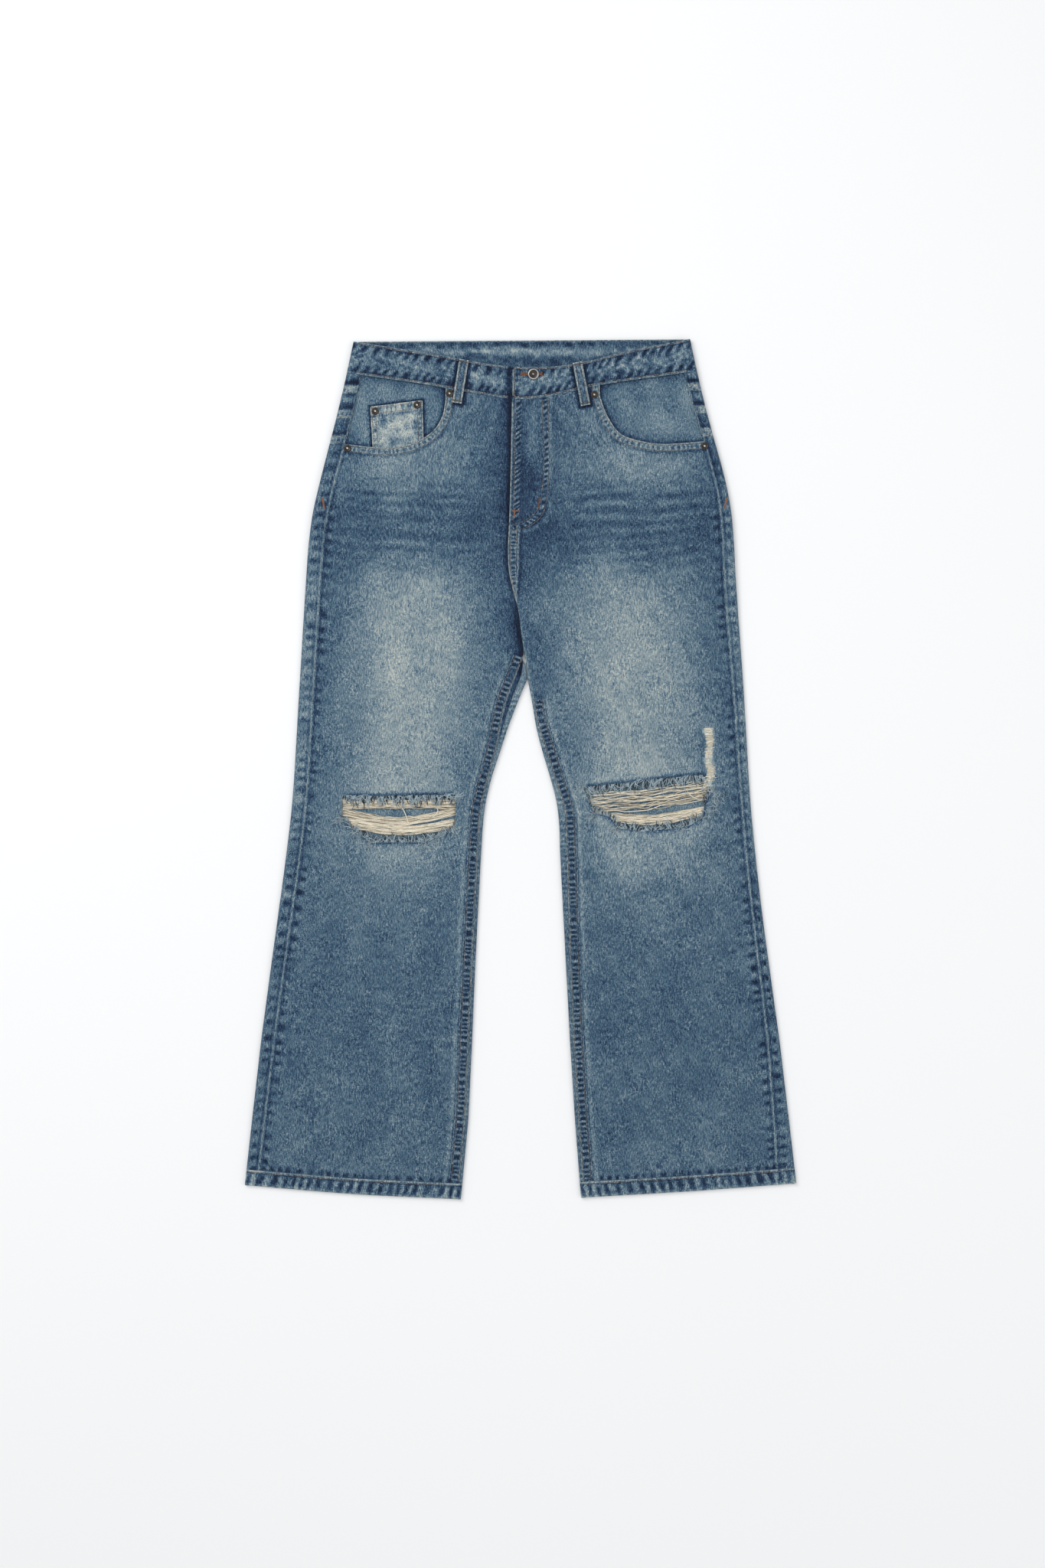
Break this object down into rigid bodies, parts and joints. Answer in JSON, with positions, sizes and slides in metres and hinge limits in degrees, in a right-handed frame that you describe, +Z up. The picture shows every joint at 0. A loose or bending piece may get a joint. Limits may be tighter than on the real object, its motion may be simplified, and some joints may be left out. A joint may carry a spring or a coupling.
{
  "type": "ripped jeans",
  "caption": "Washed blue flared denim jeans laid flat, front up, with a fly front, pockets, belt loops, metal button and rivets, and a frayed rip across each knee.",
  "frame": {"origin": "centre of the bounding box in plan, on the surface that the jeans lie on", "axes": "+Y towards the waistband, +X towards the wearer's left side, +Z up out of the front of the jeans"},
  "size_m": [0.6802, 1.06, 0.0119],
  "materials": {
    "washed_denim": "stonewashed cotton twill, faded at the thighs and knees, soft and matt",
    "edge_denim": "folded cotton twill, mottled dark and pale where it was washed over its thick edges",
    "facing_denim": "cotton twill of the pocket facings and the fly, less worn than the legs",
    "pale_denim": "worn pale cotton twill of the coin pocket",
    "warp_yarn": "frayed indigo cotton warp yarn",
    "weft_yarn": "undyed ecru cotton weft yarn",
    "zip_tape": "woven cotton zip tape with its closed brass coil and slider",
    "steel": "antiqued steel, dark in its grooves and rubbed bright on its rims"
  },
  "bodies": {
    "root": {"front_right": "washed_denim", "front_left": "washed_denim", "back_right": "washed_denim", "back_left": "washed_denim", "yoke_top_right": "washed_denim", "yoke_mid_right": "washed_denim", "yoke_low_right": "washed_denim", "yoke_top_left": "washed_denim", "yoke_mid_left": "washed_denim", "yoke_low_left": "washed_denim", "hem_right": "edge_denim", "pocket_facing_right": "facing_denim", "back_pocket_right": "washed_denim", "loop_front_right": "edge_denim", "loop_back_right": "edge_denim", "hem_left": "edge_denim", "pocket_facing_left": "facing_denim", "back_pocket_left": "washed_denim", "loop_front_left": "edge_denim", "loop_back_left": "edge_denim", "waistband": "edge_denim", "loop_back_centre": "edge_denim", "coin_pocket": "pale_denim", "fly_shield": "facing_denim", "fly_facing": "facing_denim", "zip_closed": "zip_tape", "waist_button": "steel", "rivet_scoop_right_inner": "steel", "rivet_scoop_right_outer": "steel", "rivet_coin_inner": "steel", "rivet_coin_outer": "steel", "rivet_scoop_left_inner": "steel", "rivet_scoop_left_outer": "steel", "rip_fringe_right_upper": "warp_yarn", "rip_fringe_right_lower": "warp_yarn", "rip_fringe_left_upper": "warp_yarn", "rip_fringe_left_lower": "warp_yarn", "rip_threads_right_upper": "weft_yarn", "rip_threads_right_middle": "weft_yarn", "rip_threads_right_lower": "weft_yarn", "rip_threads_left_upper": "weft_yarn", "rip_threads_left_lower": "weft_yarn"}
  },
  "joints": []
}
